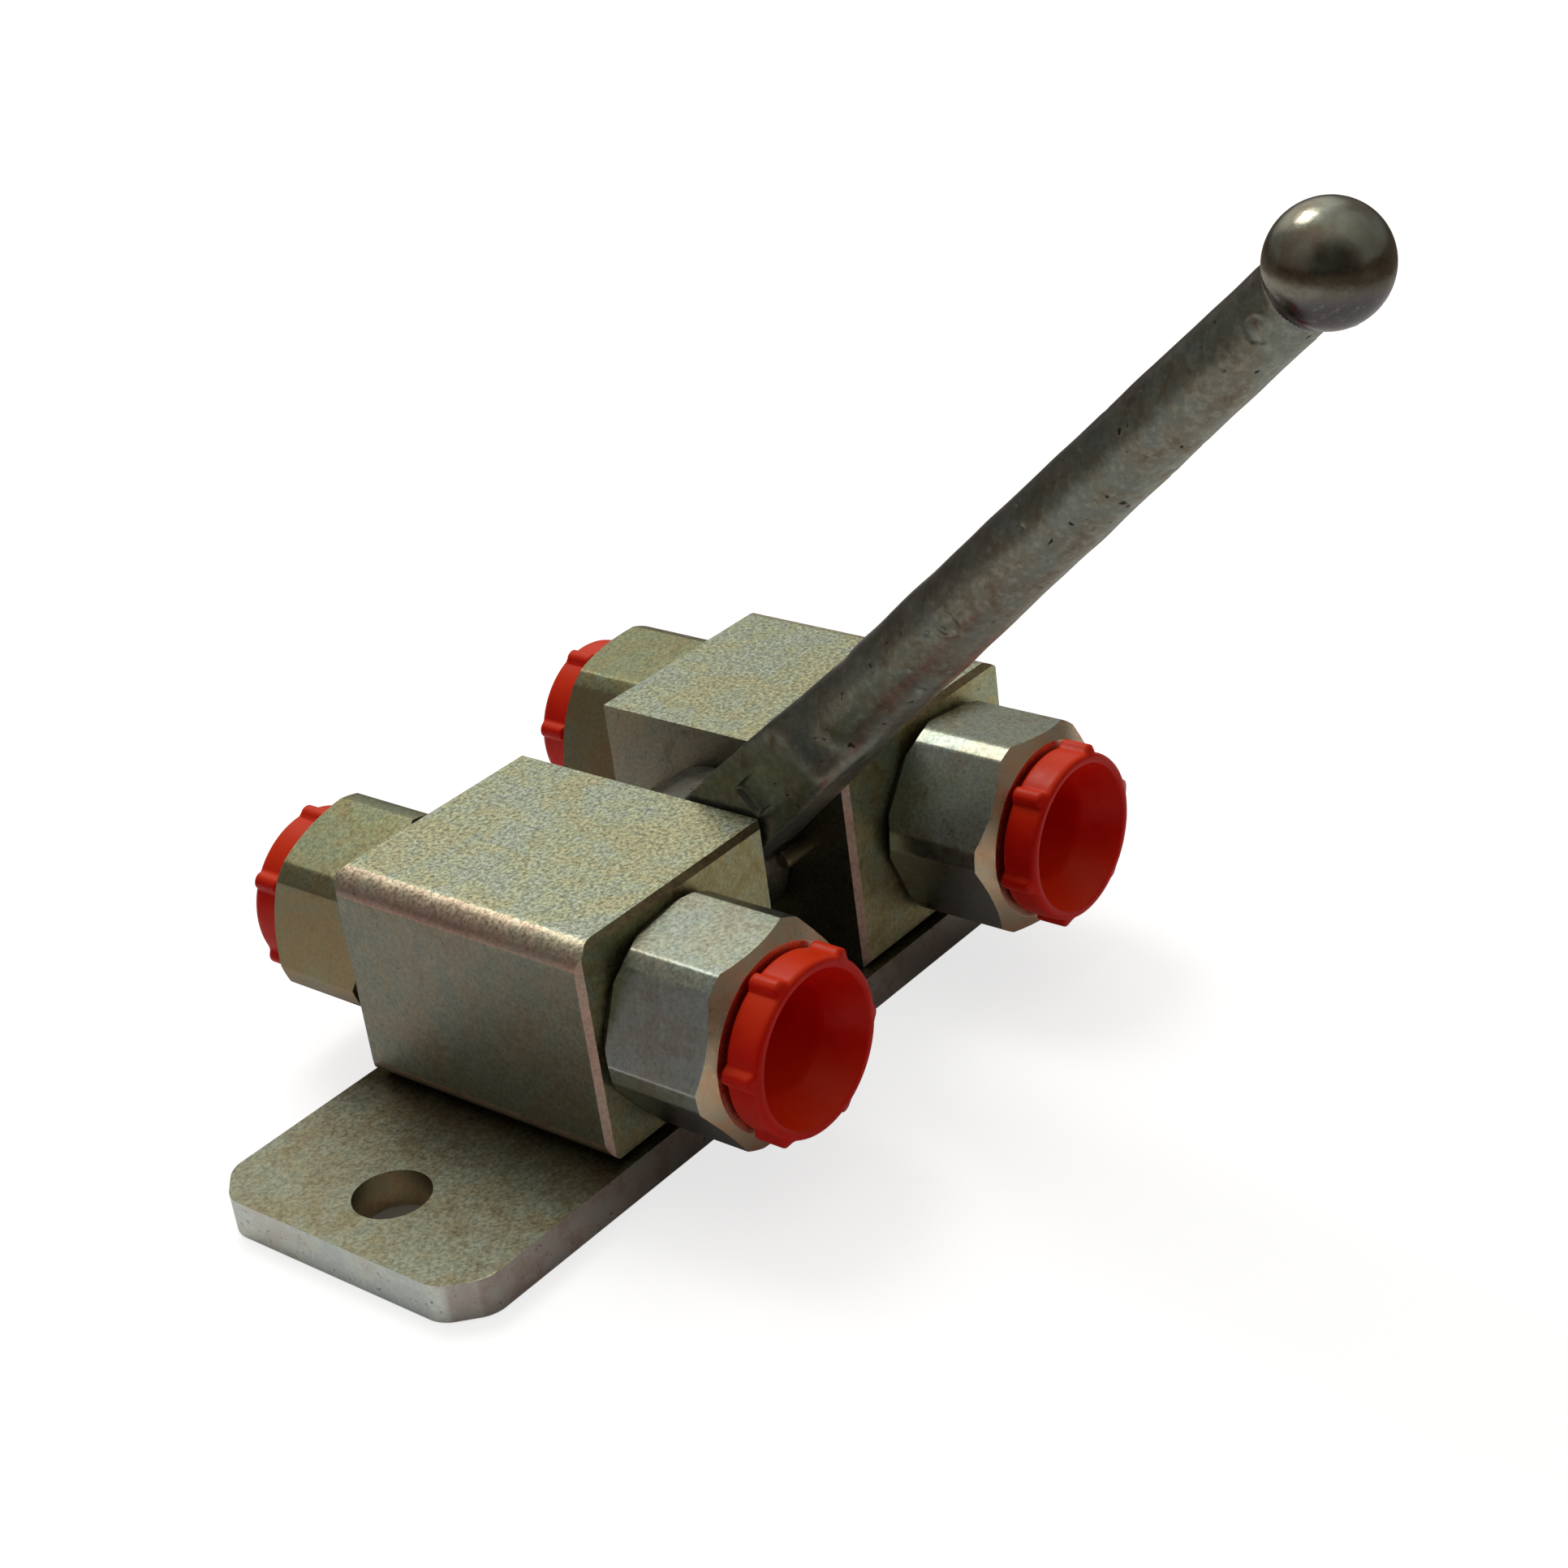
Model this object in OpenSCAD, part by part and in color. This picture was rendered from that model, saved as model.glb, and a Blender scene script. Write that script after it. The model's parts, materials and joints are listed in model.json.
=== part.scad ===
// Tandem ball valve block: two ported valve blocks on one mounting plate,
// worked together by one ball-ended lever between them.
// Millimetres. X runs along the plate, Y along the flow, Z is up,
// and the origin is the middle of the plate's underside.

/* [Mounting plate] */
// Thickness of the flat bar
plate_t = 6; // [5:0.5:10]
// Width of the flat bar
plate_w = 51; // [49:0.5:60]
// Distance from a block's outer face to the end of the plate
plate_overhang = 32; // [28:0.5:45]
// Size of the 45 degree cut on each corner
plate_corner = 5.2; // [3:0.2:8]
// Diameter of the two mounting holes
mount_hole_d = 11.5; // [9:0.5:12]
// Distance from the end of the plate to the centre of a mounting hole
mount_hole_edge = 12.4; // [10:0.2:14]

/* [Valve blocks] */
// Height of a block
block_h = 35; // [34:0.5:40]
// Thickness of a block along the plate
block_d = 40; // [39.5:0.5:42]
// Length of a block along the flow
block_l = 48; // [46:0.5:52]
// Distance between the two blocks
block_gap = 18.6; // [18:0.2:20]
// Radius of the long edges that face away from the lever
block_edge_r = 4; // [2:0.5:5]
// Bevel around the two end faces of a block
block_bevel = 0.9; // [0.6:0.1:1.5]
// Distance from a block's inner face to the flow axis
flow_offset = 22.9; // [22:0.1:23]

/* [Connectors] */
// Size of the connector's hexagon across its flats
hex_af = 30; // [29:0.5:32]
// Diameter that the hexagon's corners are turned to
hex_od = 32.8; // [32:0.1:34]
// Length of the hexagon outside the block
hex_len = 19; // [18:0.5:22]
// Diameter of the screwed nose inside the block
nose_d = 28; // [27.6:0.1:28.4]
// Diameter of the port for the pipe fitting
port_d = 20.9; // [20.6:0.1:21.2]
// Depth of the port
port_depth = 16; // [15:0.5:17]
// Diameter of the flow bore
bore_d = 13; // [12:0.5:13.5]

/* [Ball and stem] */
// Diameter of the ball
ball_d = 25; // [24.6:0.1:25.2]
// Diameter of the stem
stem_d = 12; // [11.6:0.1:12.2]
// Size across the flats of the stem's square end
stem_square = 9; // [8.6:0.1:9.2]
// Gap around each part that slides or turns
running_gap = 0.05; // [0.03:0.01:0.08]

/* [Lever] */
// Distance from the stem's axis to the centre of the ball end
lever_len = 153.2; // [120:0.2:180]
// Angle of the lever above the horizontal
lever_angle = 43.1; // [40:0.1:50]
// Diameter of the ball end
knob_d = 15.1; // [14:0.1:20]
// Diameter of the arm next to the ball end
arm_tip_d = 10.2; // [9:0.1:12]
// Diameter of the arm next to the hub
arm_root_d = 13.5; // [12.6:0.1:14]
// Width of the hub along the stem's axis
hub_w = 17; // [16:0.1:17.2]
// Diameter of the hub
hub_d = 25; // [24:0.5:26]

/* [Protective plugs] */
// Diameter of the plug's collar
collar_d = 25.6; // [24.6:0.1:26]
// Diameter over the collar's grip ribs
rib_d = 28.2; // [27:0.1:29]
// Length of the collar
collar_len = 5.6; // [5:0.1:8]
// Gap between the connector and the collar
collar_gap = 0.6; // [0.3:0.1:1.2]
// Thickness of the plug's wall
plug_wall = 1.6; // [1.2:0.1:2]
// Depth that the plug reaches into the port
plug_reach = 11; // [9:0.5:13]

/* [Hidden] */
$fn = 96;
eps = 0.01;
axis_z = plate_t + block_h / 2;
flow_x = block_gap / 2 + flow_offset;
plate_l = block_gap + 2 * block_d + 2 * plate_overhang;
mount_x = plate_l / 2 - mount_hole_edge;
// chamber: the cavity holds the ball, the nose of a connector closes it
nose_end = ball_d / 2;
nose_thread_d = nose_d - 2 * running_gap;
chamber_d = ball_d + 1;
seat_in = 8.2;
seat_gap = 0.3;
// stem, measured from the flow axis towards the gap between the blocks
ball_flat = 8.5;
shoulder_in = ball_d / 2 + 0.4;
shoulder_d = 14.8;
shoulder_t = 2.3;
washer_t = 0.8;
tang_t = 6;
tang_w = 13;
stem_groove_at = 18.5;
stem_groove_w = 1.9;
stem_ring_d = 1.35;
// connector O-ring
nose_groove_at = 1.4;
nose_groove_w = 2.4;
nose_ring_d = 1.9;
// body screws
screw_d = 6;
screw_head_d = 11.6;
screw_depth = 9;
screw_x = block_gap / 2 + 4.6;
screw_y = 16;
// stop pins
pin_d = 3;
pin_out = 6;
pin_deep = 6;
pin_s = 12.4;
arm_half = 6.9;
pin_side = arm_half + pin_d / 2 + 0.3;
tilt = 90 - lever_angle;
swing = 90;
// lever
arm_from = 20;
blade_len = 54;
blade_full = 42;
blade_half_tip = 5.9;
recess_from = 28.2;
recess_len = 8.8;
recess_w = 5.2;
recess_depth = 1;
set_screw_d = 5;
set_screw_x = 4.6;
set_screw_len = 7;
// connectors are turned to where each one tightened, degrees
hex_turn_front_right = 36.5;
hex_turn_rear_right = 23;
hex_turn_front_left = 48.5;
hex_turn_rear_left = 38;
rib_turn_front_right = 52;
rib_turn_rear_right = 9;
rib_turn_front_left = 28;
rib_turn_rear_left = 46;

// ---- placing helpers ----

// puts a shape drawn for the rear block on either block
module on_block(side) {
    if (side > 0) children();
    else mirror([1, 0, 0]) children();
}

// puts a shape drawn along +Z, from a block's end face outwards, on one port
module on_port(side, way, turn = 0) {
    translate([side * flow_x, way * block_l / 2, axis_z])
        rotate([-90 * way, 0, 0])
            rotate([0, 0, -way * turn])
                children();
}

// puts a shape drawn along +Z, from the flow axis towards the gap, on one block
module on_stem(side) {
    translate([side * flow_x, 0, axis_z])
        rotate([tilt, 0, 0])
            rotate([0, -90 * side, 0])
                children();
}

// puts a shape drawn with the arm along +Z and the stem along X on the lever
module on_lever(turn = 0) {
    translate([0, 0, axis_z])
        rotate([tilt - turn, 0, 0])
            children();
}

module tube(outer, inner, h) {
    difference() {
        cylinder(d = outer, h = h);
        translate([0, 0, -1]) cylinder(d = inner, h = h + 2);
    }
}

module ring(centre_d, section_d) {
    rotate_extrude()
        translate([centre_d / 2, 0]) circle(d = section_d, $fn = 32);
}

// ---- plate ----

module plate_outline() {
    c = plate_corner;
    x = plate_l / 2;
    y = plate_w / 2;
    polygon([[-x + c, -y], [x - c, -y], [x, -y + c], [x, y - c],
        [x - c, y], [-x + c, y], [-x, y - c], [-x, -y + c]]);
}

module mounting_plate() {
    color("#b4ae7c")
    difference() {
        linear_extrude(plate_t) plate_outline();
        for (side = [-1, 1]) {
            translate([side * mount_x, 0, -1])
                cylinder(d = mount_hole_d, h = plate_t + 2);
            for (way = [-1, 1])
                translate([side * screw_x, way * screw_y, 0]) screw_hole();
        }
    }
}

module screw_hole() {
    translate([0, 0, -1]) cylinder(d = screw_d + 0.7, h = plate_t + 2);
    cone = (screw_head_d - screw_d) / 2;
    translate([0, 0, -eps])
        cylinder(d1 = screw_head_d + 0.8, d2 = screw_d + 0.8, h = cone);
}

// ---- blocks ----

module block_section() {
    x0 = block_gap / 2;
    x1 = x0 + block_d;
    r = block_edge_r;
    translate([x0, plate_t]) square([block_d - r, block_h]);
    translate([x1 - 2 * r, plate_t + r]) square([2 * r, block_h - 2 * r]);
    for (z = [plate_t + r, plate_t + block_h - r])
        translate([x1 - r, z]) circle(r = r);
}

// a rectangle with both ends of its long sides cut at 45 degrees
module bevelled_rectangle(x0, x1, half, b) {
    polygon([[x0 + b, -half], [x1 - b, -half], [x1, -half + b], [x1, half - b],
        [x1 - b, half], [x0 + b, half], [x0, half - b], [x0, -half + b]]);
}

module block_solid() {
    intersection() {
        translate([0, block_l / 2, 0])
            rotate([90, 0, 0])
                linear_extrude(block_l) block_section();
        translate([0, 0, plate_t - 1])
            linear_extrude(block_h + 2)
                bevelled_rectangle(block_gap / 2, block_gap / 2 + block_d,
                    block_l / 2, block_bevel);
        translate([block_gap / 2 - 1, 0, 0])
            rotate([90, 0, 90])
                linear_extrude(block_d + 2)
                    rotate(90)
                        bevelled_rectangle(plate_t, plate_t + block_h,
                            block_l / 2, block_bevel);
    }
}

module block() {
    difference() {
        block_solid();
        // chamber and the two screwed mouths along the flow
        translate([flow_x, block_l / 2 + 1, axis_z])
            rotate([90, 0, 0]) cylinder(d = chamber_d, h = block_l + 2);
        for (way = [-1, 1])
            on_port(1, way) {
                translate([0, 0, nose_end - block_l / 2])
                    cylinder(d = nose_d, h = block_l / 2);
                translate([0, 0, -0.8])
                    cylinder(d1 = nose_d, d2 = nose_d + 2, h = 1);
            }
        // stem bore, and the counterbore that its shoulder turns in
        on_stem(1) {
            translate([0, 0, ball_flat])
                cylinder(d = shoulder_d + 0.4,
                    h = shoulder_in + shoulder_t + washer_t + 0.1 - ball_flat);
            translate([0, 0, ball_flat])
                cylinder(d = stem_d + 2 * running_gap, h = flow_offset);
        }
        // tapped holes for the screws from below
        for (way = [-1, 1])
            translate([screw_x, way * screw_y, plate_t - 1]) {
                cylinder(d = screw_d + 0.04, h = screw_depth + 2);
                translate([0, 0, screw_depth + 2])
                    cylinder(d1 = screw_d, d2 = 0.4, h = 1.6);
            }
    }
}

module front_block() {
    color("#a9ac83") on_block(-1) block();
}

module rear_block() {
    color("#a9ac83")
    difference() {
        block();
        for (end = [0, 1]) stop_pin_at(end) stop_pin_hole();
    }
}

// ---- connectors ----

module connector() {
    chamfer_in = 1.7;
    chamfer_out = 1.8;
    nose = block_l / 2 - nose_end;
    difference() {
        union() {
            intersection() {
                rotate([0, 0, 30]) cylinder(d = hex_af / cos(30), h = hex_len, $fn = 6);
                rotate_extrude()
                    polygon([[0, 0.02], [hex_od / 2 - 1.4, 0.02],
                        [hex_od / 2, chamfer_in], [hex_od / 2, hex_len - chamfer_out],
                        [hex_od / 2 - 2.8, hex_len], [0, hex_len]]);
            }
            translate([0, 0, -nose]) cylinder(d = nose_thread_d, h = nose + 0.5);
        }
        translate([0, 0, -nose - 1]) cylinder(d = bore_d, h = nose + hex_len);
        translate([0, 0, hex_len - port_depth]) cylinder(d = port_d, h = port_depth + 1);
        translate([0, 0, hex_len - port_depth - 2.2])
            cylinder(d1 = bore_d, d2 = port_d - 3, h = 2.21);
        translate([0, 0, hex_len - 1])
            cylinder(d1 = port_d, d2 = port_d + 2.2, h = 1.1);
        translate([0, 0, -nose_groove_at - nose_groove_w])
            tube(nose_d + 2, nose_d - 2 * nose_ring_d - 0.2, nose_groove_w);
    }
}

module front_right_connector() {
    color("#bdb98d") on_port(-1, -1, hex_turn_front_right) connector();
}

module front_left_connector() {
    color("#bdb98d") on_port(-1, 1, hex_turn_front_left) connector();
}

module rear_right_connector() {
    color("#bdb98d") on_port(1, -1, hex_turn_rear_right) connector();
}

module rear_left_connector() {
    color("#bdb98d") on_port(1, 1, hex_turn_rear_left) connector();
}

// ---- connector O-rings ----

module nose_ring() {
    translate([0, 0, -nose_groove_at - nose_groove_w / 2])
        ring(nose_d - nose_ring_d - 0.1, nose_ring_d);
}

module front_right_o_ring() {
    color("#202022") on_port(-1, -1) nose_ring();
}

module front_left_o_ring() {
    color("#202022") on_port(-1, 1) nose_ring();
}

module rear_right_o_ring() {
    color("#202022") on_port(1, -1) nose_ring();
}

module rear_left_o_ring() {
    color("#202022") on_port(1, 1) nose_ring();
}

// ---- protective plugs ----

module plug() {
    base = hex_len + collar_gap;
    top = base + collar_len;
    foot = hex_len - plug_reach;
    rc = collar_d / 2;
    ri = rc - plug_wall;
    rt = port_d / 2 - 0.9;
    difference() {
        union() {
            rotate_extrude()
                polygon([[0, foot], [rt - 1, foot], [rt, foot + 1.2], [rt, base],
                    [rc - 0.5, base], [rc, base + 0.5], [rc, top - 0.6],
                    [rc - 0.6, top], [0, top]]);
            // thread ridges
            for (i = [0:1])
                translate([0, 0, foot + 2.4 + i * 3.6])
                    rotate_extrude()
                        polygon([[rt - 0.5, 0], [rt, 0], [rt + 0.6, 0.6],
                            [rt + 0.6, 0.9], [rt, 1.5], [rt - 0.5, 1.5]]);
            // grip ribs
            for (i = [0:5])
                rotate([0, 0, i * 60])
                    translate([rib_d / 2 - 1.2, 0, base + 0.2])
                        cylinder(r = 1.2, h = collar_len - 1.6, $fn = 24);
        }
        // recess that tapers to the closed bottom
        rotate_extrude()
            polygon([[0, foot + plug_wall], [rt - 3.2, foot + plug_wall],
                [rt - 1.5, base - 0.4], [ri, top - 0.4], [ri, top + 1], [0, top + 1]]);
    }
}

module front_right_plug() {
    color("#d8140c") on_port(-1, -1, rib_turn_front_right) plug();
}

module front_left_plug() {
    color("#d8140c") on_port(-1, 1, rib_turn_front_left) plug();
}

module rear_right_plug() {
    color("#d8140c") on_port(1, -1, rib_turn_rear_right) plug();
}

module rear_left_plug() {
    color("#d8140c") on_port(1, 1, rib_turn_rear_left) plug();
}

// ---- balls and seats ----

// drawn at the origin with its slot towards +X
module ball() {
    difference() {
        sphere(d = ball_d);
        translate([0, ball_d, 0])
            rotate([90, 0, 0]) cylinder(d = bore_d, h = 2 * ball_d);
        translate([ball_flat, -tang_t / 2 - 0.1, -ball_d])
            cube([ball_d, tang_t + 0.2, 2 * ball_d]);
    }
}

module front_ball() {
    color("#c9ccd0") translate([-flow_x, 0, axis_z]) ball();
}

module rear_ball() {
    color("#c9ccd0") translate([flow_x, 0, axis_z]) mirror([1, 0, 0]) ball();
}

module seat() {
    difference() {
        translate([0, 0, seat_in - block_l / 2])
            tube(chamber_d - 0.2, bore_d + 0.2, nose_end - seat_in - 0.05);
        translate([0, 0, -block_l / 2]) sphere(d = ball_d + 2 * seat_gap);
    }
}

module front_right_seat() {
    color("#e9e6da") on_port(-1, -1) seat();
}

module front_left_seat() {
    color("#e9e6da") on_port(-1, 1) seat();
}

module rear_right_seat() {
    color("#e9e6da") on_port(1, -1) seat();
}

module rear_left_seat() {
    color("#e9e6da") on_port(1, 1) seat();
}

// ---- stems ----

module stem(side) {
    shaft_end = flow_x - 0.6;
    on_stem(side) {
        difference() {
            union() {
                translate([0, 0, shoulder_in]) cylinder(d = shoulder_d, h = shoulder_t);
                translate([0, 0, shoulder_in])
                    cylinder(d = stem_d, h = flow_offset + 0.3 - shoulder_in);
            }
            translate([0, 0, stem_groove_at])
                tube(stem_d + 2, stem_d - 2 * stem_ring_d - 0.1, stem_groove_w);
        }
        intersection() {
            translate([0, 0, flow_offset]) cylinder(d = stem_d, h = shaft_end - flow_offset);
            translate([-stem_square / 2, -stem_square / 2, flow_offset])
                cube([stem_square, stem_square, shaft_end - flow_offset]);
        }
        rotate([0, 0, side * tilt])
            intersection() {
                translate([-tang_w / 2, -tang_t / 2, ball_flat + 0.2])
                    cube([tang_w, tang_t, shoulder_in + 0.5 - ball_flat]);
                translate([0, 0, ball_flat]) cylinder(d = shoulder_d, h = ball_d);
            }
    }
}

module front_stem() {
    color("#8f9296") stem(-1);
}

module rear_stem() {
    color("#8f9296") stem(1);
}

module stem_ring(side) {
    on_stem(side)
        translate([0, 0, stem_groove_at + stem_groove_w / 2])
            ring(stem_d - stem_ring_d - 0.04, stem_ring_d);
}

module front_stem_o_ring() {
    color("#202022") stem_ring(-1);
}

module rear_stem_o_ring() {
    color("#202022") stem_ring(1);
}

module stem_washer(side) {
    on_stem(side)
        translate([0, 0, shoulder_in + shoulder_t + 0.05])
            tube(shoulder_d + 0.2, stem_d + 2 * running_gap, washer_t);
}

module front_stem_washer() {
    color("#e9e6da") stem_washer(-1);
}

module rear_stem_washer() {
    color("#e9e6da") stem_washer(1);
}

// ---- lever ----

// outline of the flat-sided root of the arm, seen along the stem
module blade_side() {
    polygon([[-arm_half, 0], [arm_half, 0], [arm_half, 10],
        [blade_half_tip, blade_len], [-blade_half_tip, blade_len], [-arm_half, 10]]);
}

// the same root seen from the front: it narrows into the round arm
module blade_front() {
    w = hub_w / 2;
    polygon([[-w, 0], [w, 0], [w, blade_full], [2.2, blade_len], [-2.2, blade_len],
        [-w, blade_full]]);
}

module lever_hub() {
    rotate([0, 90, 0]) {
        e = 0.8;
        rotate_extrude()
            polygon([[0, -hub_w / 2], [hub_d / 2 - e, -hub_w / 2], [hub_d / 2, -hub_w / 2 + e],
                [hub_d / 2, hub_w / 2 - e], [hub_d / 2 - e, hub_w / 2], [0, hub_w / 2]]);
    }
}

// cast recess in a flat side, deepest next to the hub
module side_recess(side) {
    deep = hub_w / 2 - recess_depth;
    slope = recess_len / recess_depth;
    mirror([side < 0 ? 1 : 0, 0, 0])
        translate([0, recess_w / 2, 0])
            rotate([90, 0, 0])
                linear_extrude(recess_w)
                    polygon([[deep, recess_from], [deep + recess_depth + 1, recess_from],
                        [deep + recess_depth + 1, recess_from + recess_len + slope]]);
}

module lever() {
    color("#4d4e50")
    on_lever()
    difference() {
        union() {
            lever_hub();
            intersection() {
                translate([-hub_w / 2 - 1, 0, 0])
                    rotate([90, 0, 90]) linear_extrude(hub_w + 2) blade_side();
                translate([0, hub_d, 0])
                    rotate([90, 0, 0]) linear_extrude(2 * hub_d) blade_front();
            }
            translate([0, 0, arm_from])
                cylinder(d1 = arm_root_d, d2 = arm_tip_d, h = lever_len - arm_from);
            translate([0, 0, lever_len]) sphere(d = knob_d);
        }
        // square that takes both stems
        translate([-hub_w, -stem_square / 2 - running_gap, -stem_square / 2 - running_gap])
            cube([2 * hub_w, stem_square + 2 * running_gap, stem_square + 2 * running_gap]);
        for (side = [-1, 1]) side_recess(side);
        for (side = [-1, 1])
            translate([side * set_screw_x, 0, -hub_d])
                cylinder(d = set_screw_d + 0.04, h = hub_d);
    }
}

module lever_set_screws() {
    color("#2b2b2d")
    on_lever()
        for (side = [-1, 1])
            translate([side * set_screw_x, 0, -stem_square / 2 - 0.05 - set_screw_len])
                difference() {
                    cylinder(d = set_screw_d, h = set_screw_len);
                    translate([0, 0, -1]) cylinder(d = 2.5 / cos(30), h = 3.5, $fn = 6);
                }
}

// ---- stop pins and block screws ----

// places a pin drawn along +Z, from the rear block's inner face outwards
module stop_pin_at(end) {
    on_lever(end * swing)
        translate([block_gap / 2, (2 * end - 1) * pin_side, pin_s])
            rotate([0, -90, 0])
                children();
}

module stop_pin_hole() {
    translate([0, 0, -pin_deep]) cylinder(d = pin_d + 0.02, h = pin_deep + 1);
}

module stop_pins() {
    color("#c4c6c8")
        for (end = [0, 1])
            stop_pin_at(end)
                translate([0, 0, 0.1 - pin_deep]) {
                    cylinder(d = pin_d, h = pin_deep + pin_out - 0.6);
                    translate([0, 0, pin_deep + pin_out - 0.6])
                        cylinder(d1 = pin_d, d2 = pin_d - 0.8, h = 0.5);
                }
}

module block_screw() {
    head = (screw_head_d - screw_d) / 2;
    difference() {
        union() {
            translate([0, 0, 0.3])
                cylinder(d1 = screw_head_d, d2 = screw_d, h = head);
            translate([0, 0, 0.3]) cylinder(d = screw_d, h = plate_t + screw_depth - 1.3);
        }
        translate([0, 0, -1]) cylinder(d = 4 / cos(30), h = 3.8, $fn = 6);
    }
}

module block_screws() {
    color("#8f9296")
        for (side = [-1, 1])
            for (way = [-1, 1])
                translate([side * screw_x, way * screw_y, 0]) block_screw();
}

mounting_plate();
front_block();
rear_block();
front_right_connector();
front_left_connector();
rear_right_connector();
rear_left_connector();
front_right_plug();
front_left_plug();
rear_right_plug();
rear_left_plug();
front_ball();
rear_ball();
front_right_seat();
front_left_seat();
rear_right_seat();
rear_left_seat();
front_right_o_ring();
front_left_o_ring();
rear_right_o_ring();
rear_left_o_ring();
front_stem();
rear_stem();
front_stem_o_ring();
rear_stem_o_ring();
front_stem_washer();
rear_stem_washer();
lever();
lever_set_screws();
stop_pins();
block_screws();
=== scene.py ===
"""Looks for a tandem ball valve block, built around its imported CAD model.

Lengths in this script are metres. Sizes come from the frame's own boxes, and the
few that the boxes don't give are named below in millimetres and multiplied by MM.
"""

import json
import math

import bmesh
import bpy
import numpy as np
from mathutils import Matrix, Vector


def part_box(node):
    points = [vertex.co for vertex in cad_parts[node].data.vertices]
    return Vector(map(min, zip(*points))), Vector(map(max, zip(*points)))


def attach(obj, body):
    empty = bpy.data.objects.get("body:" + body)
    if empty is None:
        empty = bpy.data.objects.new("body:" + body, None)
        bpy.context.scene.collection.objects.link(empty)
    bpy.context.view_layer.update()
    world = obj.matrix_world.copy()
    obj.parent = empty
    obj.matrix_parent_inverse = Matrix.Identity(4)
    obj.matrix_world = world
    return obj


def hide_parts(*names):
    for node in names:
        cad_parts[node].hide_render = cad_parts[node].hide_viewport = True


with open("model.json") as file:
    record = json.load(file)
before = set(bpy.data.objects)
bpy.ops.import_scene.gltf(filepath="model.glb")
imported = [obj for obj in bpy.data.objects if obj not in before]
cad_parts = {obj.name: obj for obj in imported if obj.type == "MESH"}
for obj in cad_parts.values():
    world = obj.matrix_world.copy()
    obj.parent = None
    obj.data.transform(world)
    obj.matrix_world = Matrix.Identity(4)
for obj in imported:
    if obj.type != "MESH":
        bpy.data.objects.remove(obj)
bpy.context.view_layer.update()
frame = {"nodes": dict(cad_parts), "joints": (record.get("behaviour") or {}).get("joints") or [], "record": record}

MM = 0.001
NODES = frame["nodes"]
BODIES = frame["record"]["behaviour"]["bodies"]
BODY_OF = {node: body for body, members in BODIES.items() for node in members}
SIDES = {"front": -1, "rear": 1}
WAYS = {"right": -1, "left": 1}
SEED = 11

# ---- places that the frame gives ----

LEVER_JOINT = next(j for j in frame["joints"] if j["name"] == "lever_turn")
AXIS_Z = LEVER_JOINT["pos_m"][2]
SEAT_LOW, SEAT_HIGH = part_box("rear_left_seat")
FLOW_X = (SEAT_LOW.x + SEAT_HIGH.x) / 2
BLOCK_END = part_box("rear_block")[1].y
PLATE_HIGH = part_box("mounting_plate")[1]
BOLT_X = PLATE_HIGH.x - 12.4 * MM
NEAR_BOLT = 8 * MM
PLATE_CORNER = 1.8 * MM
PORT_R = 14 * MM
HEX_CHAMFER = 1.6 * MM
PLUG_LOW, PLUG_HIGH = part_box("rear_left_plug")

# ---- the lever's own frame: arm along its +Z, stem along its X ----

LEVER_ELEVATION = math.radians(43.1)
LEVER_LENGTH = 153.2 * MM
KNOB_R = 7.55 * MM
ARM_ROOT_S, ARM_ROOT_R = 20 * MM, 6.75 * MM
ARM_TIP_R = 5.1 * MM
LEVER_TO_ROW = Matrix.Translation((0, 0, AXIS_Z)) @ Matrix.Rotation(
    math.pi / 2 - LEVER_ELEVATION, 4, "X"
)


# ---------------------------------------------------------------------------
# node materials
# ---------------------------------------------------------------------------


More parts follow.
